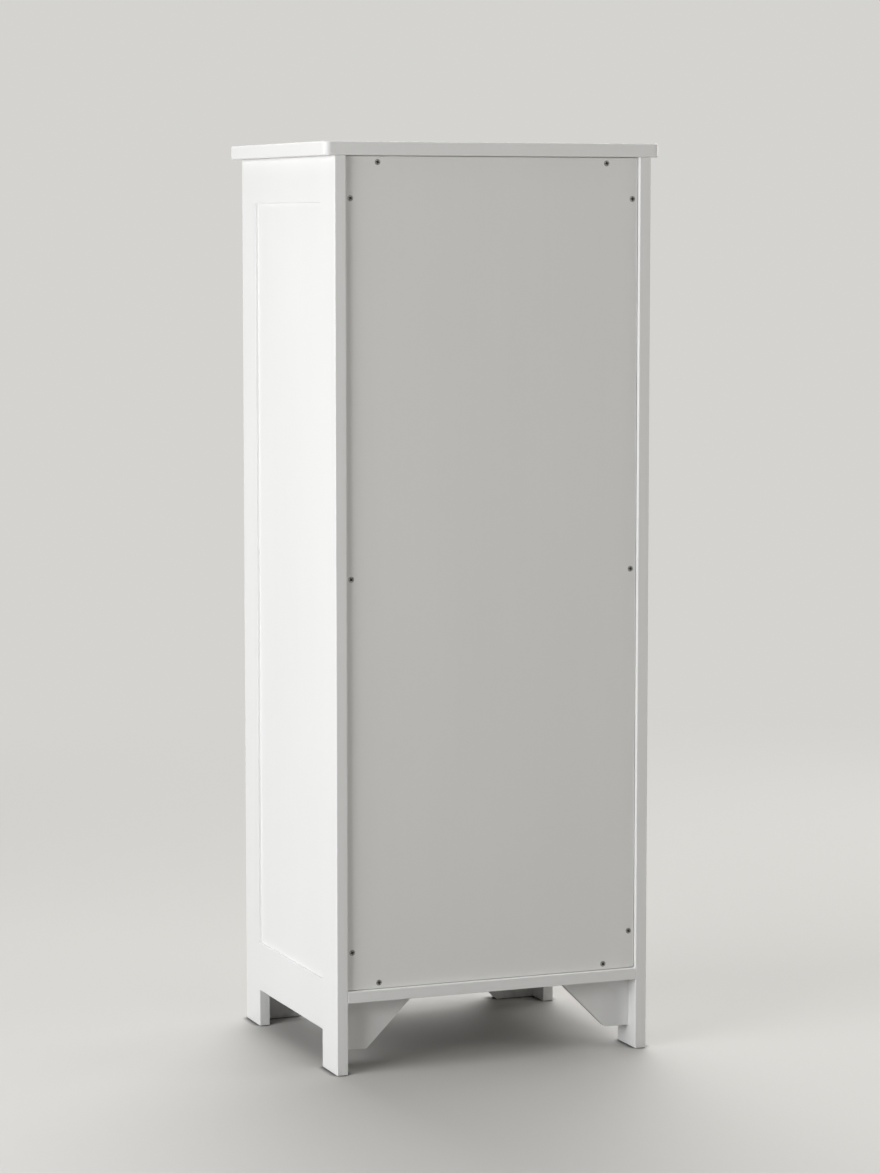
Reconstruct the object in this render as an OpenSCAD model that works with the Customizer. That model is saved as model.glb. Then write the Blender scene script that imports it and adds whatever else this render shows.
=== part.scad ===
// Tall bathroom drawer unit in painted MDF: two side panels that end in feet, a top, a bottom
// board, a screwed-on back and inset drawers that slide on wooden runners.
// Millimetres, +Z up, front towards -Y. The origin is on the floor, under the middle of the
// unit's outline with its knobs. Left and right are as seen from the front.

/* [Carcass] */
// Width over the two side panels
carcass_w = 350; // [300:1:420]
// Depth of the side panels
carcass_d = 294; // [260:1:360]
// Height of the side panels, from the floor to the underside of the top
side_h = 944; // [880:1:1150]
// Thickness of the side panels
side_t = 12; // [11:0.5:18]
// Thickness of the bottom board
bottom_t = 12; // [11:0.5:18]
// Height of the bottom board's underside above the floor
bottom_z = 75; // [65:1:90]
// How far the apron and the drawer fronts stand back from the side panels' front edges
front_inset = 3; // [0:0.5:8]

/* [Top] */
// Thickness of the top
top_t = 14; // [12:0.5:25]
// How far the top reaches past each side panel
top_side_over = 11; // [0:0.5:25]
// How far the top reaches past the side panels' front edges
top_front_over = 9.5; // [0:0.5:25]
// Radius of the top's four upright corners
top_corner_r = 7.5; // [4:0.5:20]
// Radius of the round along the top's upper and lower edges
top_edge_r = 1.5; // [0.5:0.5:3.5]

/* [Feet] */
// Depth of each foot of a side panel, front to back
foot_d = 45.5; // [30:0.5:80]
// Height of the cut-outs between the feet
foot_h = 40; // [20:1:55]
// Width of the apron's own feet at the floor
apron_foot_w = 44; // [25:1:60]
// Thickness of the apron
apron_t = 12; // [9:0.5:18]

/* [Rear brackets] */
// Thickness of the two brackets
bracket_t = 12; // [6:0.5:18]
// How far the brackets stand in from the side panels' rear edges
bracket_inset = 18.5; // [0:0.5:40]
// Height of the brackets' lower edge above the floor
bracket_z = 22; // [5:1:50]
// Width of the brackets at their lower edge
bracket_foot_w = 27; // [10:1:50]

/* [Recessed panels] */
// Width of the border in front of and behind a side panel's recess
side_border = 45; // [25:1:70]
// Width of the border above a side panel's recess
side_border_top = 47; // [38:1:80]
// Height of a side panel's recess above the underside of the bottom board
side_recess_up = 18; // [14:1:60]
// Width of the border round a drawer front's recess
front_border = 32; // [26:1:45]
// Depth of every recess
recess_depth = 3; // [1.5:0.5:4]
// Radius of the cove round every recess
recess_cove = 3; // [1:0.5:4]

/* [Back] */
// Thickness of the back panel
back_t = 4; // [3:0.5:9]
// How far the back panel stands in from the side panels' rear edges
back_inset = 5; // [3:0.5:12]
// Gap between the back panel and the boards round it
back_gap = 0.5; // [0.25:0.25:1]
// Width of the battens that the back panel is screwed to
batten_w = 15; // [13:0.5:30]
// Depth of those battens, front to back
batten_t = 12; // [11:0.5:25]
// Distance of the back screws from the board that they lie along
back_screw_edge = 6.5; // [5:0.5:8]
// Distance of the upper and lower back screws from the side panels
back_screw_side = 36; // [20:1:100]
// Distance of the lowest upright row's screw above the bottom board
back_screw_low = 40; // [25:1:100]
// Distance of the highest upright row's screw below the top
back_screw_high = 43; // [25:1:100]

/* [Drawers] */
// Number of drawers
drawers = 5; // [3:1:5]
// Gap round each drawer front
reveal = 2; // [1.5:0.25:3]
// Thickness of the drawer fronts
front_t = 12; // [11:0.5:18]
// Thickness of the drawers' sides and backs
box_t = 12; // [11:0.5:15]
// Height of the drawers' sides
box_h = 120; // [100:1:130]
// Height of the drawers' sides above the front's lower edge
box_lift = 15; // [6:1:20]
// Space left behind a closed drawer
box_rear_gap = 8; // [3:0.5:30]
// Chamfer along the edges of the drawer fronts
front_ease = 1; // [0.5:0.25:1.5]
// Depth of the rebates that hold a drawer's sides in its front
rebate_d = 4; // [2:0.5:5]
// Thickness of the drawer bottoms
base_t = 3; // [2.5:0.5:5]
// Height of the drawer bottoms above the sides' lower edge
base_lift = 8; // [6:0.5:15]
// Depth of the grooves that hold the drawer bottoms
base_groove = 4; // [2:0.5:4]

/* [Runners] */
// Height of the runners
runner_h = 14; // [11:0.5:20]
// Thickness of the runners
runner_t = 10; // [8:0.5:10]
// Height of the runners above a drawer side's lower edge
runner_lift = 45; // [30:1:60]
// Gap between a drawer's side and the cabinet's side panel
side_gap = 3; // [2.5:0.25:4]
// Sliding clearance between a runner and its groove
slide_gap = 0.3; // [0.2:0.05:0.6]
// Distance of the grooves' closed ends behind the drawer front
groove_stop = 14; // [8:1:40]
// Distance of the runners' screws from the runners' ends
runner_screw_end = 30; // [20:1:70]

/* [Knobs] */
// Diameter of the knobs
knob_d = 30; // [24:1:38]
// Length of the knobs
knob_len = 26; // [22:1:35]
// Diameter of the knobs' foot
knob_foot_d = 16; // [13:0.5:20]
// Diameter of the knobs' neck
knob_neck_d = 10; // [8:0.5:12]
// Depth of the tapped hole in the knobs
knob_hole = 12; // [8:0.5:14]

/* [Fittings] */
// Diameter of the back screws' countersunk heads
back_head_d = 6; // [5.5:0.5:7]
// Length of the back screws
back_screw_len = 13; // [10:0.5:13.5]
// Shank diameter of the wood screws
wood_screw_d = 3; // [2.5:0.5:3.5]
// Head diameter of the other countersunk screws
csk_head_d = 6.5; // [5.5:0.5:7]
// How far the runners' screws reach into the side panels
runner_screw_bite = 6; // [4:0.5:6.5]
// How far the drawers' side screws reach into the drawer back
box_screw_bite = 18; // [12:1:25]
// Diameter of the knob screws
knob_screw_d = 4; // [3:0.5:5]
// Head diameter of the knob screws
knob_screw_head_d = 8; // [7:0.5:10]
// Diameter of the cam locks
cam_d = 15; // [12:0.5:15]
// Thickness of the cam locks
cam_t = 9.5; // [9:0.5:10]
// Distance from a cam lock's centre to the board edge that it pulls tight
cam_reach = 24; // [20:1:34]
// Distance of the cam bolts from the face that the cam lock is let into
cam_bolt_in = 6; // [4.5:0.5:6]
// Diameter of the cam bolts' heads
cam_head_d = 6; // [5:0.5:6.5]
// Length of the cam bolts' threaded end
cam_thread = 8; // [6:0.5:9]
// Distance of the front cam locks from the side panels' front edges
cam_front = 50; // [35:1:90]
// Distance of the rear cam locks from the side panels' rear edges
cam_rear = 60; // [50:1:100]
// Diameter of the dowels in the apron, the brackets and the rails
dowel_d = 6; // [5:0.5:8]
// How far the dowels stand out of those pieces
dowel_out = 8; // [6:0.5:8.5]
// Distance of the dowels from those pieces' edges
dowel_edge = 18; // [12:1:20]

/* [Hidden] */
$fn = 48;
// Clearance of a screw, bolt, cam or board in its hole or groove
fit = 0.05;
// How far a cutter runs past the face that it cuts
past = 1;
// Chamfer round a dowel's end, and room for glue behind it
dowel_tip = 0.8;
glue_room = 0.5;
// Height of a pan head over its diameter, and of a screw's cross recess over its head
pan_rise = 0.34;
cross_span = 0.56;
cross_arm = 0.15;
cross_sink = 0.2;

inner_w = carcass_w - 2 * side_t;
bottom_top = bottom_z + bottom_t;
knob_reach = knob_len - front_inset - recess_depth;
rear_y = (carcass_d + max(top_front_over, knob_reach)) / 2;
front_y = rear_y - carcass_d;
fronts_y = front_y + front_inset;
back_y = rear_y - back_inset - back_t;
batten_y = back_y - batten_t;

front_w = inner_w - 2 * reveal;
front_h = (side_h - bottom_top - (drawers + 1) * reveal) / drawers;
box_y = fronts_y + front_t;
box_end = batten_y - box_rear_gap;
box_w = inner_w - 2 * side_gap;
box_in_w = box_w - 2 * box_t;
groove_d = runner_t - side_gap + slide_gap;
groove_h = runner_h + 2 * slide_gap;
runner_y = box_y + groove_stop + slide_gap;
runner_end = batten_y - slide_gap;
cam_ys = [front_y + cam_front, rear_y - cam_rear];
rail_zs = [bottom_top, side_h - batten_w];
runner_screw_ys = [runner_y + runner_screw_end, runner_end - runner_screw_end];
box_screw_zs = [runner_lift / 2, (runner_lift + runner_h + box_h) / 2];

// Drawer 1 is the top one.
function front_z(n) = bottom_top + reveal + (drawers - n) * (front_h + reveal);
function box_z(n) = front_z(n) + box_lift;
function runner_z(n) = box_z(n) + runner_lift;
function knob_z(n) = front_z(n) + front_h / 2;

// Places of the back screws, as X and Z
back_screws_at = [
    for (x = [-1, 1] * (inner_w / 2 - back_screw_side))
        for (z = [bottom_top + back_screw_edge, side_h - back_screw_edge]) [x, z],
    for (x = [-1, 1] * (inner_w / 2 - back_screw_edge))
        for (t = [0, 0.5, 1])
            [x, (1 - t) * (bottom_top + back_screw_low) + t * (side_h - back_screw_high)]
];

PIECES = ["front", "left_side", "right_side", "back", "bottom", "knob", "screws"];

module paint() { color([0.95, 0.95, 0.94]) children(); }
module zinc() { color([0.66, 0.67, 0.69]) children(); }
module pine() { color([0.85, 0.72, 0.52]) children(); }

// What is modelled at the right side, on the left side too where hand is -1
module on_hand(hand) {
    if (hand < 0) mirror([1, 0, 0]) children();
    else children();
}

// Turns an outline drawn as [y, z] into a board whose thickness runs along +X
module across_x(t) { rotate([90, 0, 90]) linear_extrude(t) children(); }
// Turns an outline drawn as [x, z] into a board whose thickness runs along -Y
module across_y(t) { rotate([90, 0, 0]) linear_extrude(t) children(); }
// Points +Z tools along +Y, -Y or +X
module along_rear() { rotate([-90, 0, 0]) children(); }
module along_front() { rotate([90, 0, 0]) children(); }
module along_x() { rotate([0, 90, 0]) children(); }

// Recess with a cove along its edges, mitred at the corners: its mouth is w by h in the plane z = 0
module coved_recess(w, h) {
    r = min(recess_cove, recess_depth);
    module bar(span, len) along_front() linear_extrude(len, center = true) union() {
        translate([-span / 2, r - recess_depth]) square([span, recess_depth - r + past]);
        translate([r - span / 2, -recess_depth]) square([span - 2 * r, recess_depth + past]);
        for (side = [-1, 1]) translate([side * (span / 2 - r), r - recess_depth]) circle(r = r);
    }
    intersection() {
        bar(w, h);
        rotate([0, 0, 90]) bar(h, w);
    }
}

module cross_recess(head_d) {
    for (turn = [45, 135])
        rotate([0, 0, turn])
            translate([-head_d * cross_span / 2, -head_d * cross_arm / 2, -head_d * cross_sink])
                cube([head_d * cross_span, head_d * cross_arm, head_d]);
}

// Pan head screw: the head stands on z = 0 and the shank points down
module pan_screw(d, head_d, len) {
    head_h = head_d * pan_rise;
    flat = 0.5 * head_h;
    difference() {
        rotate_extrude() polygon(concat(
            [[0, -len], [d / 2, -len + d], [d / 2, 0], [head_d / 2, 0], [head_d / 2, flat]],
            [for (a = [15:15:75]) [head_d / 2 * cos(a), flat + (head_h - flat) * sin(a)]],
            [[0, head_h]]
        ));
        translate([0, 0, head_h]) cross_recess(head_d);
    }
}

// Countersunk screw: the head is flush with z = 0 and the shank points down
module csk_screw(d, head_d, len) {
    rim = 0.4;
    difference() {
        rotate_extrude() polygon([
            [0, -len], [d / 2, -len + d], [d / 2, -rim - (head_d - d) / 2],
            [head_d / 2, -rim], [head_d / 2, 0], [0, 0]
        ]);
        cross_recess(head_d);
    }
}

// Hole for a countersunk screw, to the same rule as the screw
module csk_hole(d, head_d, len) {
    rim = 0.4;
    translate([0, 0, -len - fit]) cylinder(d = d + 2 * fit, h = len + fit + past);
    translate([0, 0, -rim - (head_d - d) / 2 - fit])
        cylinder(d1 = d + 2 * fit, d2 = head_d + 2 * fit, h = (head_d - d) / 2);
    translate([0, 0, -rim - fit]) cylinder(d = head_d + 2 * fit, h = rim + fit + past);
}

// Cam lock: its outer face is z = 0, and the bolt comes in along +X
module cam_lock() {
    difference() {
        cylinder(d = cam_d, h = cam_t);
        translate([-cam_head_d / 4, 0, cam_bolt_in])
            along_x() cylinder(d = cam_head_d + 0.8, h = cam_d);
        translate([-cam_d / 4, -cam_d / 4, cam_bolt_in - cam_head_d / 4])
            cube([cam_d, cam_d / 2, cam_head_d / 2]);
        mirror([0, 0, 1]) cross_recess(cam_d / 2);
    }
}

// Cam bolt along +X: its head sits in the cam lock at the origin
module cam_bolt() {
    neck = 0.55 * cam_head_d;
    along_x() rotate_extrude() polygon([
        [0, 0], [cam_head_d / 2 - 0.6, 0], [cam_head_d / 2, 0.6], [cam_head_d / 2, 2.4],
        [neck / 2, 3.4], [neck / 2, 6.5], [cam_head_d / 2, 8],
        [cam_head_d / 2, cam_reach - fit], [cam_head_d / 2 - 0.5, cam_reach - fit],
        [cam_head_d / 2 - 0.5, cam_reach + cam_thread - 1],
        [cam_head_d / 2 - 1.2, cam_reach + cam_thread], [0, cam_reach + cam_thread]
    ]);
}

// Pocket and bores for one cam lock and its bolt, in the lock's own frame
module cam_holes() {
    translate([0, 0, -past]) cylinder(d = cam_d + 2 * fit, h = cam_t + fit + past);
    translate([0, 0, cam_bolt_in]) along_x() cylinder(d = cam_head_d + 2 * fit, h = cam_reach + past);
}
module cam_thread_hole() {
    translate([cam_reach, 0, cam_bolt_in])
        along_x() cylinder(d = cam_head_d - 1 + 2 * fit, h = cam_thread + fit);
}

// Places of the right-hand cam locks: under the top, and under the bottom board
module at_top_cams() {
    for (y = cam_ys) translate([inner_w / 2, y, side_h - cam_reach]) rotate([180, -90, 0]) children();
}
module at_bottom_cams() {
    for (y = cam_ys) translate([inner_w / 2 - cam_reach, y, bottom_z]) children();
}

// Board with chamfered edges, centred on the origin
module eased_board(w, d, h, ease) {
    module eased(a, b) polygon([
        [ease - a / 2, -b / 2], [a / 2 - ease, -b / 2], [a / 2, ease - b / 2], [a / 2, b / 2 - ease],
        [a / 2 - ease, b / 2], [ease - a / 2, b / 2], [-a / 2, b / 2 - ease], [-a / 2, ease - b / 2]
    ]);
    intersection() {
        linear_extrude(h, center = true) eased(w, d);
        along_front() linear_extrude(d, center = true) eased(w, h);
        rotate([90, 0, 90]) linear_extrude(w, center = true) eased(d, h);
    }
}

// Dowel glued into the piece below z = 0, and the hole for its end in the piece above
module dowel() rotate_extrude() polygon([
    [0, -dowel_out], [dowel_d / 2, -dowel_out], [dowel_d / 2, dowel_out - dowel_tip],
    [dowel_d / 2 - dowel_tip, dowel_out], [0, dowel_out]
]);
module dowel_hole() {
    translate([0, 0, -past]) cylinder(d = dowel_d + 2 * fit, h = past + dowel_out + glue_room);
}

// Places of the right-hand dowels, with +Z pointing out of the piece that holds them
module at_apron_side_dowels() {
    for (z = [dowel_edge, bottom_z - dowel_edge])
        translate([inner_w / 2, fronts_y + apron_t / 2, z]) along_x() children();
}
module at_apron_top_dowel() {
    translate([inner_w / 2 - apron_foot_w - foot_h, fronts_y + apron_t / 2, bottom_z]) children();
}
module at_bracket_side_dowel() {
    translate([inner_w / 2, rear_y - bracket_inset - bracket_t / 2, bracket_z + dowel_edge])
        along_x() children();
}
module at_bracket_top_dowel() {
    translate([inner_w / 2 - bracket_foot_w - dowel_edge, rear_y - bracket_inset - bracket_t / 2, bottom_z])
        children();
}
module at_rail_dowel(z) {
    translate([inner_w / 2, batten_y + batten_t / 2, z + batten_w / 2]) along_x() children();
}

module top_panel() paint() {
    w = carcass_w + 2 * top_side_over;
    difference() {
        hull()
            for (x = [-1, 1] * (w / 2 - top_corner_r))
                for (y = [front_y - top_front_over + top_corner_r, rear_y - top_corner_r])
                    for (a = [0:22.5:90])
                        translate([x, y, side_h + top_edge_r * (1 - cos(a))])
                            cylinder(r = top_corner_r - top_edge_r * (1 - sin(a)),
                                     h = top_t - 2 * top_edge_r * (1 - cos(a)), $fn = 32);
        for (hand = [-1, 1]) on_hand(hand) at_top_cams() cam_thread_hole();
    }
}

// One board from the floor to the top, with its two feet, seen from inside as hand 1 on the right
module side_panel(hand) paint() on_hand(hand) {
    recess_z = bottom_z + side_recess_up;
    recess_top = side_h - side_border_top;
    difference() {
        translate([inner_w / 2, 0, 0]) across_x(side_t) polygon([
            [front_y, 0], [front_y + foot_d, 0], [front_y + foot_d, foot_h],
            [rear_y - foot_d, foot_h], [rear_y - foot_d, 0], [rear_y, 0],
            [rear_y, side_h], [front_y, side_h]
        ]);
        translate([carcass_w / 2, (front_y + rear_y) / 2, (recess_z + recess_top) / 2])
            rotate([90, 0, 90]) coved_recess(carcass_d - 2 * side_border, recess_top - recess_z);
        at_top_cams() cam_holes();
        at_bottom_cams() cam_thread_hole();
        at_apron_side_dowels() dowel_hole();
        at_bracket_side_dowel() dowel_hole();
        for (z = rail_zs) at_rail_dowel(z) dowel_hole();
        for (n = [1:drawers]) at_runner_screws(n) translate([0, 0, -runner_screw_len - fit])
            cylinder(d = wood_screw_d + 2 * fit, h = runner_screw_len);
    }
}

module bottom_panel() paint() difference() {
    translate([-inner_w / 2, fronts_y, bottom_z]) cube([inner_w, rear_y - fronts_y, bottom_t]);
    for (hand = [-1, 1]) on_hand(hand) {
        at_bottom_cams() cam_holes();
        at_apron_top_dowel() dowel_hole();
        at_bracket_top_dowel() dowel_hole();
    }
}

module back_panel() paint() difference() {
    translate([-inner_w / 2 + back_gap, back_y, bottom_top + back_gap])
        cube([inner_w - 2 * back_gap, back_t, side_h - bottom_top - 2 * back_gap]);
    back_screw_holes();
}

module back_screw_holes() {
    for (at = back_screws_at)
        translate([at[0], rear_y - back_inset, at[1]])
            along_rear() csk_hole(wood_screw_d, back_head_d, back_screw_len);
}

module rear_rail(z) paint() {
    difference() {
        translate([-inner_w / 2, batten_y, z]) cube([inner_w, batten_t, batten_w]);
        back_screw_holes();
    }
    for (hand = [-1, 1]) on_hand(hand) at_rail_dowel(z) dowel();
}

module rear_batten(hand) paint() difference() {
    on_hand(hand) translate([inner_w / 2 - batten_w, batten_y, bottom_top + batten_w])
        cube([batten_w, batten_t, side_h - bottom_top - 2 * batten_w]);
    back_screw_holes();
}

// Board under the bottom board, cut away between its feet with 45 degree corners
module front_apron() paint() {
    foot_x = inner_w / 2 - apron_foot_w;
    translate([0, fronts_y + apron_t, 0]) across_y(apron_t) polygon([
        [-inner_w / 2, 0], [-foot_x, 0], [-foot_x + foot_h, foot_h],
        [foot_x - foot_h, foot_h], [foot_x, 0], [inner_w / 2, 0],
        [inner_w / 2, bottom_z], [-inner_w / 2, bottom_z]
    ]);
    for (hand = [-1, 1]) on_hand(hand) {
        at_apron_side_dowels() dowel();
        at_apron_top_dowel() dowel();
    }
}

// Corner board between a side panel and the bottom board, with a 45 degree edge
module rear_bracket(hand) paint() on_hand(hand) {
    foot_x = inner_w / 2 - bracket_foot_w;
    translate([0, rear_y - bracket_inset, 0]) across_y(bracket_t) polygon([
        [inner_w / 2, bracket_z], [inner_w / 2, bottom_z],
        [foot_x - (bottom_z - bracket_z), bottom_z], [foot_x, bracket_z]
    ]);
    at_bracket_side_dowel() dowel();
    at_bracket_top_dowel() dowel();
}

module back_screws() zinc()
    for (at = back_screws_at)
        translate([at[0], rear_y - back_inset, at[1]])
            along_rear() csk_screw(wood_screw_d, back_head_d, back_screw_len);

runner_screw_len = runner_t + runner_screw_bite;

// Right-hand places of the screws that hold runner n, with +Z pointing out of the screw's head
module at_runner_screws(n) {
    for (y = runner_screw_ys)
        translate([inner_w / 2 - runner_t, y, runner_z(n) + runner_h / 2]) rotate([0, -90, 0]) children();
}

// Strip with a round nose that fits the closed end of the drawer side's groove
module runner(n, hand) pine() on_hand(hand) difference() {
    translate([inner_w / 2 - runner_t, 0, runner_z(n) + runner_h / 2]) across_x(runner_t) union() {
        translate([runner_y + runner_h / 2, 0]) circle(d = runner_h);
        translate([runner_y + runner_h / 2, -runner_h / 2])
            square([runner_end - runner_y - runner_h / 2, runner_h]);
    }
    at_runner_screws(n) csk_hole(wood_screw_d, csk_head_d, runner_screw_len);
}

module runner_screws() zinc()
    for (n = [1:drawers]) for (hand = [-1, 1]) on_hand(hand)
        at_runner_screws(n) csk_screw(wood_screw_d, csk_head_d, runner_screw_len);

module cam_fittings() zinc()
    for (hand = [-1, 1]) on_hand(hand) {
        at_top_cams() cam_lock();
        at_top_cams() translate([0, 0, cam_bolt_in]) cam_bolt();
        at_bottom_cams() cam_lock();
        at_bottom_cams() translate([0, 0, cam_bolt_in]) cam_bolt();
    }

// Framed front: recess outside, rebates for the two sides and a groove for the bottom inside
module drawer_front(n) paint() difference() {
    translate([0, fronts_y + front_t / 2, knob_z(n)]) eased_board(front_w, front_t, front_h, front_ease);
    translate([0, fronts_y, knob_z(n)]) along_front()
        coved_recess(front_w - 2 * front_border, front_h - 2 * front_border);
    for (hand = [-1, 1]) on_hand(hand)
        translate([box_w / 2 - box_t, box_y - rebate_d, box_z(n)])
            cube([box_t + (front_w - box_w) / 2 + past, rebate_d + past, box_h]);
    translate([-box_in_w / 2 - fit, box_y - base_groove, box_z(n) + base_lift - fit])
        cube([box_in_w + 2 * fit, base_groove + past, base_t + 2 * fit]);
    translate([0, box_y + past, knob_z(n)])
        along_front() cylinder(d = knob_screw_d + 2 * fit, h = front_t + 2 * past);
}

// Right-hand places of the screws through a drawer's side into its back
module at_box_screws(n) {
    for (z = box_screw_zs)
        translate([box_w / 2, box_end - box_t / 2, box_z(n) + z]) along_x() children();
}

module drawer_side(n, hand) paint() on_hand(hand) difference() {
    translate([box_w / 2 - box_t, box_y - rebate_d, box_z(n)])
        cube([box_t, box_end - box_y + rebate_d, box_h]);
    translate([box_w / 2 - groove_d, 0, runner_z(n) + runner_h / 2]) across_x(groove_d + past) union() {
        translate([box_y + groove_stop + groove_h / 2, 0]) circle(d = groove_h);
        translate([box_y + groove_stop + groove_h / 2, -groove_h / 2])
            square([box_end - box_y, groove_h]);
    }
    translate([box_in_w / 2 - past, box_y - rebate_d - past, box_z(n) + base_lift - fit])
        cube([base_groove + past, box_end - box_y + rebate_d + 2 * past, base_t + 2 * fit]);
    at_box_screws(n) csk_hole(wood_screw_d, csk_head_d, box_t + box_screw_bite);
}

module drawer_back(n) paint() difference() {
    translate([-box_in_w / 2, box_end - box_t, box_z(n) + base_lift + base_t])
        cube([box_in_w, box_t, box_h - base_lift - base_t]);
    for (hand = [-1, 1]) on_hand(hand) at_box_screws(n)
        translate([0, 0, -box_t - box_screw_bite - fit])
            cylinder(d = wood_screw_d + 2 * fit, h = box_t + box_screw_bite);
}

module drawer_bottom(n) paint() {
    reach = base_groove - 2 * fit;
    translate([-box_in_w / 2 - reach, box_y, box_z(n) + base_lift])
        cube([box_in_w + 2 * reach, box_end - box_y, base_t]);
    translate([-box_in_w / 2, box_y - reach, box_z(n) + base_lift])
        cube([box_in_w, reach + past, base_t]);
}

// Turned knob: foot, waist, rounded rim and a low dome
function knob_waist(t) = knob_neck_d / 2
    + (knob_foot_d / 2 - 1 - knob_neck_d / 2) * pow(1 - t, 4)
    + (knob_d / 2 - 2.5 - knob_neck_d / 2) * pow(t, 5);

module knob_shape() {
    foot = 2;
    rim_z = 0.62 * knob_len;
    rim_r = 2.5;
    difference() {
        rotate_extrude($fn = 96) polygon(concat(
            [[0, 0], [knob_foot_d / 2, 0], [knob_foot_d / 2, foot]],
            [for (t = [0:0.1:1]) [knob_waist(t), foot + t * (rim_z - rim_r - foot)]],
            [for (a = [-60:30:0]) [knob_d / 2 + rim_r * (cos(a) - 1), rim_z + rim_r * sin(a)]],
            [for (a = [9:9:81]) [knob_d / 2 * cos(a), rim_z + (knob_len - rim_z) * sin(a)]],
            [[0, knob_len]]
        ));
        translate([0, 0, -past]) cylinder(d = knob_screw_d + 2 * fit, h = knob_hole + past);
    }
}

module drawer_knob(n) zinc()
    translate([0, fronts_y + recess_depth, knob_z(n)]) along_front() knob_shape();

// The knob's machine screw, and the four wood screws that hold the drawer's back
module drawer_screws(n) zinc() {
    knob_screw_len = front_t - recess_depth + knob_hole - past;
    translate([0, box_y, knob_z(n)]) along_rear() pan_screw(knob_screw_d, knob_screw_head_d, knob_screw_len);
    for (hand = [-1, 1]) on_hand(hand)
        at_box_screws(n) csk_screw(wood_screw_d, csk_head_d, box_t + box_screw_bite);
}

top_panel();
side_panel(-1);  // left_side_panel
side_panel(1);  // right_side_panel
bottom_panel();
back_panel();
rear_rail(rail_zs[1]);  // rear_top_rail
rear_rail(rail_zs[0]);  // rear_bottom_rail
rear_batten(-1);  // left_rear_batten
rear_batten(1);  // right_rear_batten
front_apron();
rear_bracket(-1);  // left_rear_bracket
rear_bracket(1);  // right_rear_bracket
back_screws();
runner_screws();
cam_fittings();
for (n = [1:drawers]) {
    runner(n, -1);
    runner(n, 1);
    drawer_front(n);
    drawer_side(n, -1);
    drawer_side(n, 1);
    drawer_back(n);
    drawer_bottom(n);
    drawer_knob(n);
    drawer_screws(n);
}
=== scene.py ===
import math

import bmesh
import bpy
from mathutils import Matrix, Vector


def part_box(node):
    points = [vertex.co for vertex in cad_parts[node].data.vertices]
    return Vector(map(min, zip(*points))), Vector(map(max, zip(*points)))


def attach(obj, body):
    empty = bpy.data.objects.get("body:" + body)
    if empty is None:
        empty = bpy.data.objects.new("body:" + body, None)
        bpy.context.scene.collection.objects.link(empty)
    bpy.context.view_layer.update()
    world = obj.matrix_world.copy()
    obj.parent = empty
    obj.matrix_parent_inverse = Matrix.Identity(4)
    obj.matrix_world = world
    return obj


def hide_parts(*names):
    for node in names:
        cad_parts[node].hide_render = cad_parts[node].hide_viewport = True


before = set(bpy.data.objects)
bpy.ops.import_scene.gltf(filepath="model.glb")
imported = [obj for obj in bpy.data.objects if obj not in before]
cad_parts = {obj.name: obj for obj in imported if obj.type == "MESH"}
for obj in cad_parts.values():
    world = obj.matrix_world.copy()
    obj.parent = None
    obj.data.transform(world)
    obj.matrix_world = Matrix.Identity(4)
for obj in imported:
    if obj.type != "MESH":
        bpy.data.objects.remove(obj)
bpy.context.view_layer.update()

# Camera.
# It stands behind the unit and to its right, a little lower than its top, and looks slightly down. The
# lens is long, so that the upright edges stay almost parallel.
CAMERA_PLACE = (1.4041, 3.5438, 0.8795)
CAMERA_TILT = 84.114
CAMERA_TURN = 158.370
CAMERA_LENS = 109.21
CAMERA_SENSOR = 36

scene = bpy.context.scene
scene.view_settings.view_transform = "Standard"
camera = bpy.data.objects.new("camera", bpy.data.cameras.new("camera"))
scene.collection.objects.link(camera)
scene.camera = camera
camera.location = CAMERA_PLACE
camera.rotation_euler = (math.radians(CAMERA_TILT), 0, math.radians(CAMERA_TURN))
camera.data.lens = CAMERA_LENS
camera.data.sensor_width = CAMERA_SENSOR

# Side panels.
# Two boards of 12 mm fibreboard from the floor to the top, each cut out into two feet, with a recess
# routed outside. Sprayed with satin white, which rounds the edges and leaves a faint orange peel.
MM = 0.001
WHITE = (0.845, 0.845, 0.84)
PANEL_EASE = 0.9 * MM
SQUARE_EDGES = (89, 91)
SQUARE_STEPS = 3
SLANTED_EDGES = (30, 89)
SLANTED_EASE = 0.25 * MM
SLANTED_STEPS = 2
SHORTEST_EASED = 9 * MM
SAME_PLACE = 0.005 * MM
SAME_PLANE = math.radians(0.5)
SMOOTHED_ANGLE = math.radians(32)

RECESS_DEPTH = 3 * MM
RECESS_FOOT_W = 7 * MM
RECESS_FOOT_H = 0.45 * MM
RECESS_WALL_LEAN = 0.05

MIDDLE_GREYS = (0.3, 0.7)
UNSTRETCHED = (1, 1, 1)
CLOUD_STRETCH = (1, 1, 0.35)
CLOUD_SCALE = 9
STREAK_STRETCH = (1, 1, 0.02)
STREAK_SCALE = 160
SCUFF_STRETCH = (1, 1, 0.4)
SCUFF_SCALE = 240
SCUFF_GREYS = (0.45, 0.62)
SCUFF_HEIGHT = 14 * MM
PEEL_SCALE = 620
PEEL_HEIGHT = 0.2 * MM
CORNER_SHADE_REACH = 8 * MM
CORNER_SHADE_OPENNESS = (0.2, 0.75)
GLOSS_CHANGE = 0.05
PAINT_IOR = 1.5


def add(tree, kind, inputs=(), **settings):
    """Adds a shader node, sets its properties, and sets or links its inputs by name."""
    made = tree.nodes.new(kind)
    for name, value in settings.items():
        setattr(made, name, value)
    for name, value in dict(inputs).items():
        if isinstance(value, bpy.types.NodeSocket):
            tree.links.new(value, made.inputs[name])
        else:
            made.inputs[name].default_value = value
    return made


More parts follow.
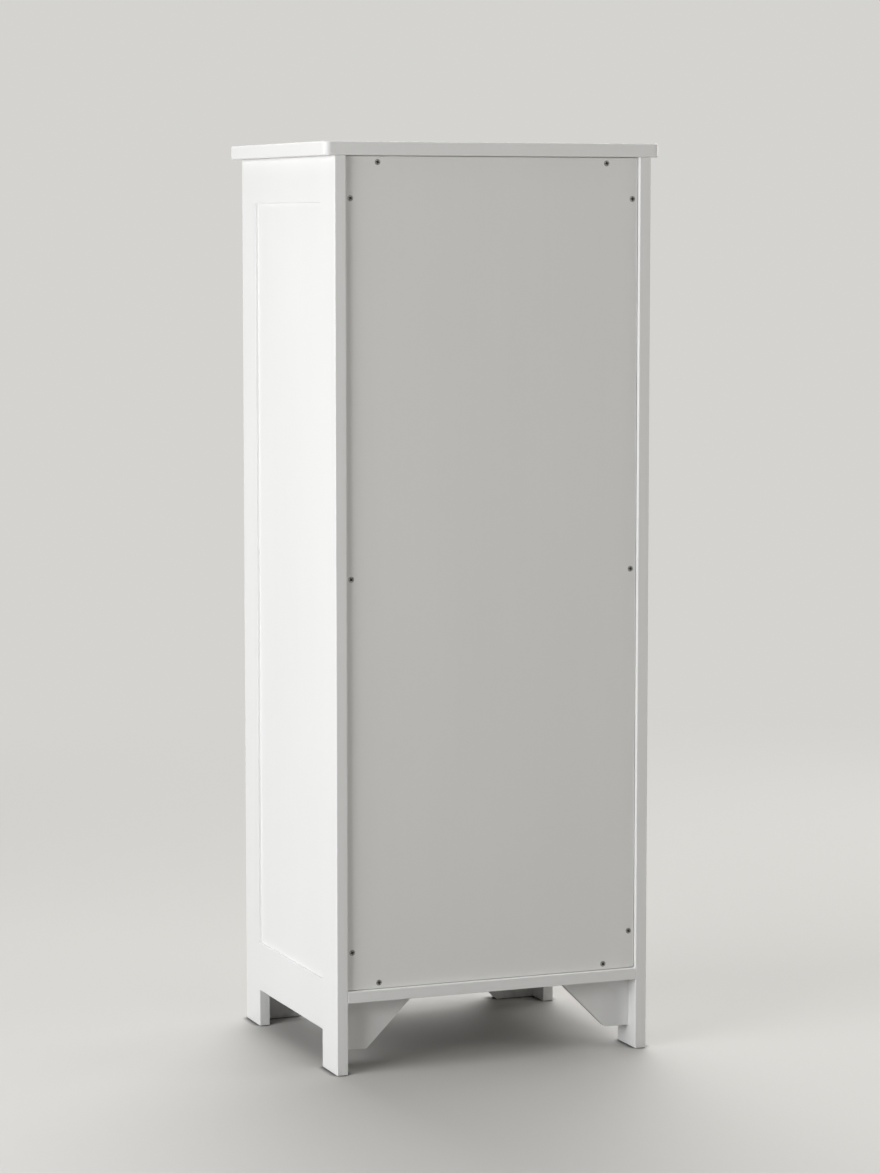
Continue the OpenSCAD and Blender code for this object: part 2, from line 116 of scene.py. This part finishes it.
def noise(tree, place, stretch, scale, detail=2.0):
    """Grey noise on the piece's own coordinates, stretched along X, Y and Z."""
    mapping = add(tree, "ShaderNodeMapping", {"Vector": place, "Scale": stretch})
    texture = add(tree, "ShaderNodeTexNoise",
                  {"Vector": mapping.outputs[0], "Scale": scale, "Detail": detail})
    return texture.outputs["Fac"]


def ranged(tree, value, low, high, start=0.0, end=1.0):
    """The value, taken from the range start to end to the range low to high."""
    inputs = {"Value": value, "From Min": start, "From Max": end, "To Min": low, "To Max": high}
    return add(tree, "ShaderNodeMapRange", inputs).outputs[0]


def varied(tree, grey, low, high):
    """The middle greys of a noise, taken to the range low to high."""
    return ranged(tree, grey, low, high, *MIDDLE_GREYS)


def product(tree, a, b):
    """Two grey values multiplied."""
    made = add(tree, "ShaderNodeMath", operation="MULTIPLY")
    for socket, value in zip(made.inputs, (a, b)):
        if isinstance(value, bpy.types.NodeSocket):
            tree.links.new(value, socket)
        else:
            socket.default_value = value
    return made.outputs[0]


def openness(tree, reach, samples=4):
    """1 in the open, less in the corners and gaps that are narrower than the reach."""
    return add(tree, "ShaderNodeAmbientOcclusion", {"Distance": reach}, samples=samples).outputs["AO"]


def roughened(tree, shader, grain, strength, height):
    """Lets a grain stand out of the surface by the strength's share of the height."""
    bump = add(tree, "ShaderNodeBump", {"Height": grain, "Strength": strength, "Distance": height})
    tree.links.new(bump.outputs[0], shader.inputs["Normal"])


def new_material(name):
    """A material with its node tree, its shader and the Object coordinates."""
    material = bpy.data.materials.new(name)
    material.use_nodes = True
    tree = material.node_tree
    return material, tree, tree.nodes["Principled BSDF"], add(tree, "ShaderNodeTexCoord").outputs["Object"]


def tinted(tree, colour, shade):
    """The colour, darkened by a grey value that is 1 where it stays as it is."""
    made = add(tree, "ShaderNodeMix", data_type="RGBA", blend_type="MULTIPLY")
    made.inputs["Factor"].default_value = 1
    made.inputs["A"].default_value = (*colour, 1)
    tree.links.new(shade, made.inputs["B"])
    return made.outputs["Result"]


def sprayed_paint(name, colour, roughness, mottle=0.02, peel=0.05, painted_corner_shade=0.06, soiled=0.0):
    """Sprayed paint: cloudy coverage, faint upright streaks, orange peel, and painted shade in the corners.
    """
    material, tree, shader, place = new_material(name)
    clouds = noise(tree, place, CLOUD_STRETCH, CLOUD_SCALE, 3)
    streaks = noise(tree, place, STREAK_STRETCH, STREAK_SCALE)
    shade = product(tree, varied(tree, clouds, 1 - mottle, 1), varied(tree, streaks, 1 - mottle / 4, 1))
    # Painted shade: the colour darkens in corners and gaps that are narrower than the reach.
    corner_shade = ranged(tree, openness(tree, CORNER_SHADE_REACH), 1 - painted_corner_shade, 1, *CORNER_SHADE_OPENNESS)
    shade = product(tree, shade, corner_shade)
    if soiled:
        height = add(tree, "ShaderNodeSeparateXYZ", {"Vector": place}).outputs["Z"]
        scuffs = noise(tree, place, SCUFF_STRETCH, SCUFF_SCALE, 4)
        near_floor = ranged(tree, height, 1, 0, 0, SCUFF_HEIGHT)
        mask = product(tree, near_floor, ranged(tree, scuffs, 0, 1, *SCUFF_GREYS))
        shade = product(tree, shade, ranged(tree, mask, 1, 1 - soiled))
    tree.links.new(tinted(tree, colour, shade), shader.inputs["Base Color"])
    tree.links.new(varied(tree, clouds, roughness - GLOSS_CHANGE, roughness + GLOSS_CHANGE),
                   shader.inputs["Roughness"])
    roughened(tree, shader, noise(tree, place, UNSTRETCHED, PEEL_SCALE), peel, PEEL_HEIGHT)
    shader.inputs["IOR"].default_value = PAINT_IOR
    return material


def only(piece):
    """Selects one object alone and makes it the active one."""
    bpy.ops.object.select_all(action="DESELECT")
    piece.select_set(True)
    bpy.context.view_layer.objects.active = piece


def opened_copy(node, paints, body):
    """A copy of a CAD node that stands for it, in edit mode, its loose triangles merged to whole faces.

    It has its own paints, of which the second is for eased edges.
    """
    piece = bpy.data.objects.new(f"{node}_finished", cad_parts[node].data.copy())
    scene.collection.objects.link(piece)
    piece.data.materials.clear()
    for paint in paints:
        piece.data.materials.append(paint)
    piece.data.polygons.foreach_set("material_index", [0] * len(piece.data.polygons))
    only(piece)
    bpy.ops.mesh.customdata_custom_splitnormals_clear()
    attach(piece, body)
    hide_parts(node)
    bpy.ops.object.mode_set(mode="EDIT")
    bpy.ops.mesh.select_mode(type="EDGE")
    bpy.ops.mesh.select_all(action="SELECT")
    bpy.ops.mesh.remove_doubles(threshold=SAME_PLACE)
    bpy.ops.mesh.dissolve_limited(angle_limit=SAME_PLANE)
    return piece


def smooth(piece):
    """Closes edit mode and shades the rounded edges smooth, while the large faces stay flat."""
    bpy.ops.object.mode_set(mode="OBJECT")
    only(piece)
    bpy.ops.object.shade_smooth_by_angle(angle=SMOOTHED_ANGLE)
    flat_faces = piece.modifiers.new("flat_faces", "WEIGHTED_NORMAL")
    flat_faces.keep_sharp = True
    bpy.ops.object.modifier_apply(modifier="flat_faces")


def edge_turn(edge):
    """How far the surface turns over an edge, in degrees, less than 0 in a hollow."""
    return math.degrees(edge.calc_face_angle_signed(0)) if len(edge.link_faces) == 2 else 0


def round_edges(piece, angles, radius, steps):
    """Rounds the convex edges over a length whose angle lies between the two, in degrees.

    The radius is the most that they get, because short edges beside them can hold all of a piece back.
    """
    bpy.ops.mesh.select_all(action="DESELECT")
    shape = bmesh.from_edit_mesh(piece.data)
    for edge in shape.edges:
        edge.select_set(angles[0] < edge_turn(edge) < angles[1] and edge.calc_length() > SHORTEST_EASED)
    bmesh.update_edit_mesh(piece.data)
    bpy.ops.mesh.bevel(offset=radius, segments=steps, affect="EDGES", clamp_overlap=True, material=1)


def recess_offset(depth):
    """How far from a recess's rim its wall stands at a depth: steep, then a wide shallow foot."""
    rise = max(RECESS_DEPTH - depth, 0)
    radius = (RECESS_FOOT_W ** 2 + RECESS_FOOT_H ** 2) / (2 * RECESS_FOOT_H)
    if rise < RECESS_FOOT_H:
        return RECESS_FOOT_W - math.sqrt(2 * radius * rise - rise ** 2)
    return 0


def shape_recess(piece, across, face):
    """Gives a recess its steep wall and shallow foot.

    Across is the axis into the board, and face is where the board's outside lies on it.
    """
    shape = bmesh.from_edit_mesh(piece.data)
    depth = {corner: abs(corner.co[across] - face) for corner in shape.verts}
    floor = [corner.co for corner in shape.verts if abs(depth[corner] - RECESS_DEPTH) < SAME_PLACE]
    for along in {0, 1, 2} - {across}:
        low, high = min(c[along] for c in floor), max(c[along] for c in floor)
        rim_low, rim_high = low - RECESS_DEPTH, high + RECESS_DEPTH
        for corner in shape.verts:
            place = corner.co[along]
            if 0 < depth[corner] < RECESS_DEPTH + SAME_PLACE:
                offset = recess_offset(depth[corner]) + RECESS_WALL_LEAN * depth[corner]
                if rim_low <= place <= low:
                    corner.co[along] = rim_low + offset
                if high <= place <= rim_high:
                    corner.co[along] = rim_high - offset
    bmesh.update_edit_mesh(piece.data)


def eased_board(node, ease, paints, body="cabinet", recess=None):
    """A board's copy with its long outer edges rounded, and its routed or slanted ones a little."""
    piece = opened_copy(node, paints, body)
    if recess:
        shape_recess(piece, *recess)
    round_edges(piece, SLANTED_EDGES, SLANTED_EASE, SLANTED_STEPS)
    round_edges(piece, SQUARE_EDGES, ease, SQUARE_STEPS)
    bpy.ops.mesh.select_all(action="SELECT")
    bpy.ops.mesh.dissolve_degenerate(threshold=SAME_PLACE)
    smooth(piece)


side_paint = sprayed_paint("side_paint", WHITE, roughness=0.56, soiled=0.08)
edge_paint = sprayed_paint("edge_paint", WHITE, roughness=0.52, mottle=0.01, painted_corner_shade=0.04)
left_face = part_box("left_side_panel")[0].x
right_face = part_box("right_side_panel")[1].x
for side, outside in (("left", left_face), ("right", right_face)):
    eased_board(f"{side}_side_panel", PANEL_EASE, (side_paint, edge_paint), recess=(0, outside))

# Bottom board.
# One 12 mm board between the side panels. Its rear edge is flush with theirs, and the back panel stands
# on it 5 mm further in. The cam locks are let into its underside.
BOTTOM_EASE = 0.7 * MM

board_paint = sprayed_paint("board_paint", WHITE, roughness=0.56)
eased_board("bottom_panel", BOTTOM_EASE, (board_paint, edge_paint))

# Rear rails and battens.
# Four painted strips that the back panel is screwed to. The rails are dowelled to the side panels, and
# the battens are glued along them. They show only when the drawers are out.
STRIP_EASE = 0.5 * MM

for strip in ("rear_top_rail", "rear_bottom_rail", "left_rear_batten", "right_rear_batten"):
    eased_board(strip, STRIP_EASE, (board_paint, edge_paint))

# Front apron and rear brackets.
# Boards under the bottom board, sawn at 45 degrees and set in from the side panels' edges. Painted shade
# darkens their corners more, and the apron's feet are scuffed at the floor. Their edges stay almost sharp.
LOW_EASE = 0.8 * MM

low_paint = sprayed_paint("low_paint", WHITE, roughness=0.58, painted_corner_shade=0.08, soiled=0.1)
for board in ("front_apron", "left_rear_bracket", "right_rear_bracket"):
    eased_board(board, LOW_EASE, (low_paint, edge_paint))

# Cam locks and cam bolts.
# Die-cast zinc locks, let into the bottom board and the side panels and turned with a cross driver, and
# the steel bolts that they pull. All of them are bare metal with a dull plated skin.
ZINC = (0.36, 0.365, 0.37)
PLATED_TONES = (0.82, 1.08)
PLATED_CLOUDS = 260
DULL_SPOTS = 0.1
SHINY_SPOTS = 0.08
PLATED_RECESS_SHADE = 0.25
PLATED_SHADE_REACH = 1.2 * MM
PLATED_SHADE_OPENNESS = (0.25, 0.8)
PLATED_GRAIN = 1400
CAST_GRAIN = 700
GRAIN_STRENGTH = 0.2
GRAIN_HEIGHT = 0.05 * MM


def plated(name, colour, roughness, grain=PLATED_GRAIN, metallic=1.0):
    """Dull plated metal: cloudy sheen, fine grain, and painted shade in the hollows where the drivers bite.
    """
    material, tree, shader, place = new_material(name)
    clouds = noise(tree, place, UNSTRETCHED, PLATED_CLOUDS, 3)
    # Painted shade: the metal darkens in hollows that are narrower than the reach.
    painted_recess_shade = ranged(tree, openness(tree, PLATED_SHADE_REACH), PLATED_RECESS_SHADE, 1, *PLATED_SHADE_OPENNESS)
    shade = product(tree, varied(tree, clouds, *PLATED_TONES), painted_recess_shade)
    tree.links.new(tinted(tree, colour, shade), shader.inputs["Base Color"])
    tree.links.new(varied(tree, clouds, roughness - SHINY_SPOTS, roughness + DULL_SPOTS),
                   shader.inputs["Roughness"])
    roughened(tree, shader, noise(tree, place, UNSTRETCHED, grain, 3), GRAIN_STRENGTH, GRAIN_HEIGHT)
    shader.inputs["Metallic"].default_value = metallic
    return material


def finish_node(node, material):
    """Gives a CAD node that keeps its shape its material."""
    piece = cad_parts[node]
    piece.data.materials.clear()
    piece.data.materials.append(material)


cast_zinc = plated("cast_zinc", ZINC, roughness=0.45, grain=CAST_GRAIN)
finish_node("cam_fittings", cast_zinc)

# Top.
# A 14 mm board that overhangs the sides and the front, with rounded corners and edges all round. It
# takes the most handling, so its paint is a little smoother.
top_paint = sprayed_paint("top_paint", WHITE, roughness=0.5)
smooth(opened_copy("top_panel", (top_paint,), "cabinet"))

# Runners and their screws.
# Strips of bare planed pine with a round nose, screwed to the side panels with countersunk screws. The
# grain runs along them.
DRAWERS = range(1, 6)
PINE_LIGHT = (0.66, 0.47, 0.27)
PINE_DARK = (0.43, 0.25, 0.11)
PINE_TONES = (0.78, 1.06)
PINE_ROUGHNESS = (0.5, 0.68)
RING_STRETCH = (1, 0.06, 1)
RING_BANDS = 120
RING_WANDER = 1.6
RING_WANDER_SCALE = 0.4
FIBRE_STRETCH = (1, 0.02, 1)
FIBRE_SCALE = 1500
FIBRE_STRENGTH = 0.25
FIBRE_HEIGHT = 0.1 * MM


def planed_pine(name):
    """Planed pine with its growth rings and fibres along Y."""
    material, tree, shader, place = new_material(name)
    trunk = add(tree, "ShaderNodeMapping", {"Vector": place, "Scale": RING_STRETCH})
    rings = add(tree, "ShaderNodeTexWave",
                {"Vector": trunk.outputs[0], "Scale": RING_BANDS, "Distortion": RING_WANDER, "Detail": 2,
                 "Detail Scale": RING_WANDER_SCALE},
                wave_type="RINGS", rings_direction="Y", wave_profile="SAW").outputs["Fac"]
    fibres = noise(tree, place, FIBRE_STRETCH, FIBRE_SCALE, 3)
    bands = add(tree, "ShaderNodeMix", {"Factor": rings}, data_type="RGBA")
    bands.inputs["A"].default_value = (*PINE_LIGHT, 1)
    bands.inputs["B"].default_value = (*PINE_DARK, 1)
    made = add(tree, "ShaderNodeMix", data_type="RGBA", blend_type="MULTIPLY")
    made.inputs["Factor"].default_value = 1
    tree.links.new(bands.outputs["Result"], made.inputs["A"])
    tree.links.new(varied(tree, fibres, *PINE_TONES), made.inputs["B"])
    tree.links.new(made.outputs["Result"], shader.inputs["Base Color"])
    tree.links.new(varied(tree, fibres, *PINE_ROUGHNESS), shader.inputs["Roughness"])
    roughened(tree, shader, fibres, FIBRE_STRENGTH, FIBRE_HEIGHT)
    return material


pine = planed_pine("planed_pine")
for number in DRAWERS:
    for side in ("left", "right"):
        finish_node(f"{side}_runner_{number}", pine)
screw_steel = plated("screw_steel", ZINC, roughness=0.34)
finish_node("runner_screws", screw_steel)

# Back panel.
# A 4 mm hardboard panel with a factory coat, a little warmer than the sprayed boards and with less
# orange peel. It stands 5 mm in from the rear edges.
BACK_WHITE = (0.835, 0.832, 0.82)
BACK_EASE = 0.4 * MM

back_paint = sprayed_paint("back_paint", BACK_WHITE, roughness=0.55, peel=0.03)
eased_board("back_panel", BACK_EASE, (back_paint, back_paint))

# Back screws.
# Ten countersunk screws in dull plated steel, driven through the back panel into the rails and the
# battens, no two turned alike. Painted shade darkens their cross recesses and the rings round their heads.
BACK_STEEL = (0.44, 0.44, 0.43)
# Near black, put on the screws as painted shade.
SCREW_SHADE = (0.012, 0.0115, 0.011)
SCREW_TURN = 37
RIM_BAND = 0.35 * MM
HEAD_EASE = 0.3 * MM
HEAD_EASE_STEPS = 2
FACING_OUT = 0.9
HEAD_FLATNESS = 0.05 * MM
SHADED_DEPTH = 1.3 * MM
SHARP_TURN = 60


def finish_back_screw(screw, turn):
    """Turns a back screw about its axis, rounds its head, and paints shade on its rim and its cross recess.
    """
    corners = [corner.co for corner in screw.data.vertices]
    left, right = min(c.x for c in corners), max(c.x for c in corners)
    bottom, top = min(c.z for c in corners), max(c.z for c in corners)
    face_y = max(c.y for c in corners)
    axis = Vector(((left + right) / 2, face_y, (bottom + top) / 2))
    only(screw)
    bpy.ops.object.mode_set(mode="EDIT")
    bpy.ops.mesh.select_all(action="SELECT")
    bpy.ops.transform.rotate(value=math.radians(turn), orient_axis="Y", center_override=axis)
    bpy.ops.mesh.select_mode(type="FACE")
    shape = bmesh.from_edit_mesh(screw.data)
    for face in shape.faces:
        middle = face.calc_center_median()
        on_head = face.normal.y > FACING_OUT and middle.y > face_y - HEAD_FLATNESS
        face.select_set(on_head)
        # The cross recess's faces get the near-black painted shade.
        if not on_head and middle.y > face_y - SHADED_DEPTH:
            face.material_index = 1
    bmesh.update_edit_mesh(screw.data)
    bpy.ops.mesh.inset(thickness=RIM_BAND)
    shape = bmesh.from_edit_mesh(screw.data)
    for face in shape.faces:
        middle = face.calc_center_median()
        # The ring round the head gets the painted shade too.
        if not face.select and (middle - axis).length > (right - left) / 2 - RIM_BAND:
            face.material_index = 1
    bpy.ops.mesh.select_mode(type="EDGE")
    bpy.ops.mesh.select_all(action="DESELECT")
    for edge in shape.edges:
        on_face = all(corner.co.y > face_y - HEAD_FLATNESS for corner in edge.verts)
        edge.select_set(on_face and edge_turn(edge) > SHARP_TURN)
    bmesh.update_edit_mesh(screw.data)
    # The head's rounded edges also get the painted shade.
    bpy.ops.mesh.bevel(offset=HEAD_EASE, segments=HEAD_EASE_STEPS, affect="EDGES", clamp_overlap=True,
                       material=1)
    bpy.ops.object.mode_set(mode="OBJECT")


back_screw_steel = plated("back_screw_steel", BACK_STEEL, roughness=0.42)
painted_screw_shade = plated("screw_painted_shade", SCREW_SHADE, roughness=0.7, metallic=0.2)
back_screws = opened_copy("back_screws", (back_screw_steel, painted_screw_shade), "cabinet")
bpy.ops.mesh.select_all(action="SELECT")
bpy.ops.mesh.separate(type="LOOSE")
bpy.ops.object.mode_set(mode="OBJECT")
screws = sorted(bpy.context.selected_objects, key=lambda screw: screw.data.vertices[0].co.z)
for place, screw in enumerate(screws):
    finish_back_screw(screw, SCREW_TURN * place)
only(back_screws)
for screw in screws:
    screw.select_set(True)
bpy.ops.object.join()
smooth(back_screws)

# Drawer fronts.
# Boards with a recess routed outside and the same satin white as the cabinet, rebated behind for the
# drawer's sides.
FRONT_EASE = 0.4 * MM

front_paint = sprayed_paint("front_paint", WHITE, roughness=0.52)
for number in DRAWERS:
    front = f"drawer_{number}_front"
    eased_board(front, FRONT_EASE, (front_paint, edge_paint), body=f"drawer_{number}",
                recess=(1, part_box(front)[0].y))

# Drawer boxes.
# Sides and back of 12 mm board and a thin bottom in grooves, all in a thin flat white that covers less
# evenly than the paint outside. The back is held between the sides by screws through them.
BOX_WHITE = (0.78, 0.775, 0.75)
BOX_EASE = 0.5 * MM

# Their corners get more painted shade than the cabinet's boards.
box_paint = sprayed_paint("box_paint", BOX_WHITE, roughness=0.6, mottle=0.05, peel=0.08, painted_corner_shade=0.15)
for number in DRAWERS:
    for board in ("left_side", "right_side", "back", "bottom"):
        eased_board(f"drawer_{number}_{board}", BOX_EASE, (box_paint, box_paint),
                    f"drawer_{number}")
    finish_node(f"drawer_{number}_screws", screw_steel)

# Knobs.
# Turned metal knobs in satin nickel, one to a drawer, held from inside by a machine screw. The lathe has
# left fine rings round each knob's own axis.
NICKEL = (0.60, 0.585, 0.55)
NICKEL_TONES = (0.93, 1.04)
NICKEL_ROUGHNESS = (0.2, 0.34)
NICKEL_CLOUDS = 120
LATHE_RINGS = 2600
LATHE_RING_STRENGTH = 0.15
LATHE_RING_HEIGHT = 0.05 * MM


def satin_nickel(name, centre):
    """Turned satin nickel with rings about the knob's axis, which runs along Y through the centre."""
    material, tree, shader, place = new_material(name)
    centred = add(tree, "ShaderNodeMapping", {"Vector": place, "Location": (-centre.x, 0, -centre.z)})
    flat = add(tree, "ShaderNodeVectorMath", {0: centred.outputs[0], 1: (1, 0, 1)},
               operation="MULTIPLY")
    radius = add(tree, "ShaderNodeVectorMath", {0: flat.outputs[0]}, operation="LENGTH").outputs["Value"]
    depth = add(tree, "ShaderNodeSeparateXYZ", {"Vector": centred.outputs[0]}).outputs["Y"]
    lathe = add(tree, "ShaderNodeCombineXYZ", {"X": radius, "Y": depth})
    rings = noise(tree, lathe.outputs[0], UNSTRETCHED, LATHE_RINGS, 1)
    clouds = noise(tree, place, UNSTRETCHED, NICKEL_CLOUDS)
    tree.links.new(tinted(tree, NICKEL, varied(tree, clouds, *NICKEL_TONES)),
                   shader.inputs["Base Color"])
    tree.links.new(varied(tree, rings, *NICKEL_ROUGHNESS), shader.inputs["Roughness"])
    roughened(tree, shader, rings, LATHE_RING_STRENGTH, LATHE_RING_HEIGHT)
    shader.inputs["Metallic"].default_value = 1
    return material


for number in DRAWERS:
    knob = f"drawer_{number}_knob"
    lowest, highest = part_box(knob)
    finish_node(knob, satin_nickel(f"satin_nickel_{number}", (lowest + highest) / 2))

# Floor, backdrop and light.
# A pale matt floor that fades into a pale backdrop, with a painted shadow where it meets the unit. A
# broad lamp lights the right side and grazes the back, two weaker ones fill the back and the left, and
# even light comes from above and from in front.
BACKDROP = (0.66, 0.652, 0.632)
FLOOR_SEEN = (0.475, 0.469, 0.455)
FLOOR_BOUNCE = (0.31, 0.305, 0.295)
FLOOR_ROUGHNESS = 0.7
FLOOR_RADIUS = 60
FLOOR_SIDES = 96
FADE_START = 0.9
FADE_END = 2.6
CONTACT_SHADOW_REACH = 12 * MM
CONTACT_SHADOW_OPENNESS = (0.55, 0.86)
CONTACT_SHADOW_DARK = 0.03
AMBIENT = 0.07
AMBIENT_COLOUR = (1.0, 0.985, 0.95, 1)
COOL_WHITE = (0.985, 0.992, 1.0)
NEAR_WHITE = (1.0, 0.99, 0.97)
SOFT_WHITE = (1.0, 0.98, 0.95)
WARM_WHITE = (1.0, 0.965, 0.91)
AIM = Vector((0, 0, 0.5))

bpy.ops.mesh.primitive_circle_add(vertices=FLOOR_SIDES, radius=FLOOR_RADIUS, fill_type="NGON",
                                  location=(0, 0, 0))
floor = bpy.context.object
floor.name = "floor"


def seen_directly(tree):
    """1 for what the camera or a mirroring surface sees, 0 for what only lights other things."""
    path = add(tree, "ShaderNodeLightPath")
    return add(tree, "ShaderNodeMath", {0: path.outputs["Is Camera Ray"], 1: path.outputs["Is Glossy Ray"]},
               operation="MAXIMUM").outputs[0]


floor_paint, tree, shader, place = new_material("floor_paint")
shader.inputs["Roughness"].default_value = FLOOR_ROUGHNESS
reach = add(tree, "ShaderNodeVectorMath", {0: place}, operation="LENGTH").outputs["Value"]
fade = add(tree, "ShaderNodeMapRange", {"Value": reach, "From Min": FADE_START, "From Max": FADE_END},
           interpolation_type="SMOOTHSTEP").outputs[0]
seen = seen_directly(tree)
colour = add(tree, "ShaderNodeMix", {"Factor": seen}, data_type="RGBA")
colour.inputs["A"].default_value = (*FLOOR_BOUNCE, 1)
# Painted shadow: the floor as the camera sees it darkens where it meets the unit.
painted_contact_shadow = ranged(tree, openness(tree, CONTACT_SHADOW_REACH, samples=8), CONTACT_SHADOW_DARK, 1, *CONTACT_SHADOW_OPENNESS)
tree.links.new(tinted(tree, FLOOR_SEEN, painted_contact_shadow), colour.inputs["B"])
tree.links.new(colour.outputs["Result"], shader.inputs["Base Color"])
glow = add(tree, "ShaderNodeEmission", {"Color": (*BACKDROP, 1), "Strength": 1.0})
mix = add(tree, "ShaderNodeMixShader",
          {0: product(tree, fade, seen), 1: shader.outputs[0], 2: glow.outputs[0]})
tree.links.new(mix.outputs[0], tree.nodes["Material Output"].inputs["Surface"])
floor.data.materials.append(floor_paint)

world = bpy.data.worlds.new("studio")
scene.world = world
world.use_nodes = True
tree = world.node_tree
ambient = tree.nodes["Background"]
ambient.inputs["Color"].default_value = AMBIENT_COLOUR
ambient.inputs["Strength"].default_value = AMBIENT
backdrop = add(tree, "ShaderNodeBackground", {"Color": (*BACKDROP, 1), "Strength": 1.0})
mix = add(tree, "ShaderNodeMixShader",
          {0: seen_directly(tree), 1: ambient.outputs[0], 2: backdrop.outputs[0]})
tree.links.new(mix.outputs[0], tree.nodes["World Output"].inputs["Surface"])


def lamp(name, turn, reach, height, size, power, colour):
    """A soft upright lamp that points at the unit's middle, turned from +X towards +Y in degrees."""
    data = bpy.data.lights.new(name, "AREA")
    data.shape = "RECTANGLE"
    data.size, data.size_y = size
    data.energy = power
    data.color = colour
    made = bpy.data.objects.new(name, data)
    scene.collection.objects.link(made)
    place = Vector((reach * math.cos(math.radians(turn)), reach * math.sin(math.radians(turn)), height))
    made.location = place
    made.rotation_euler = (AIM - place).to_track_quat("-Z", "Y").to_euler()


def sheet(name, direction, power, spread, colour):
    """Even light from far away, spread over an angle in degrees."""
    made = bpy.data.objects.new(name, bpy.data.lights.new(name, "SUN"))
    scene.collection.objects.link(made)
    made.data.energy = power
    made.data.angle = math.radians(spread)
    made.data.color = colour
    made.rotation_euler = Vector(direction).to_track_quat("-Z", "Y").to_euler()


lamp("key", turn=18, reach=2.6, height=1.0, size=(2.0, 1.4), power=61, colour=COOL_WHITE)
lamp("rear_fill", turn=150, reach=2.8, height=1.4, size=(1.6, 1.2), power=19, colour=WARM_WHITE)
lamp("left_fill", turn=205, reach=3.4, height=1.2, size=(1.6, 1.2), power=40, colour=SOFT_WHITE)
sheet("overhead", (0, 0, -1), power=0.9, spread=60, colour=NEAR_WHITE)
sheet("front_fill", (0.6, 1.7, -1.1), power=1.9, spread=50, colour=NEAR_WHITE)
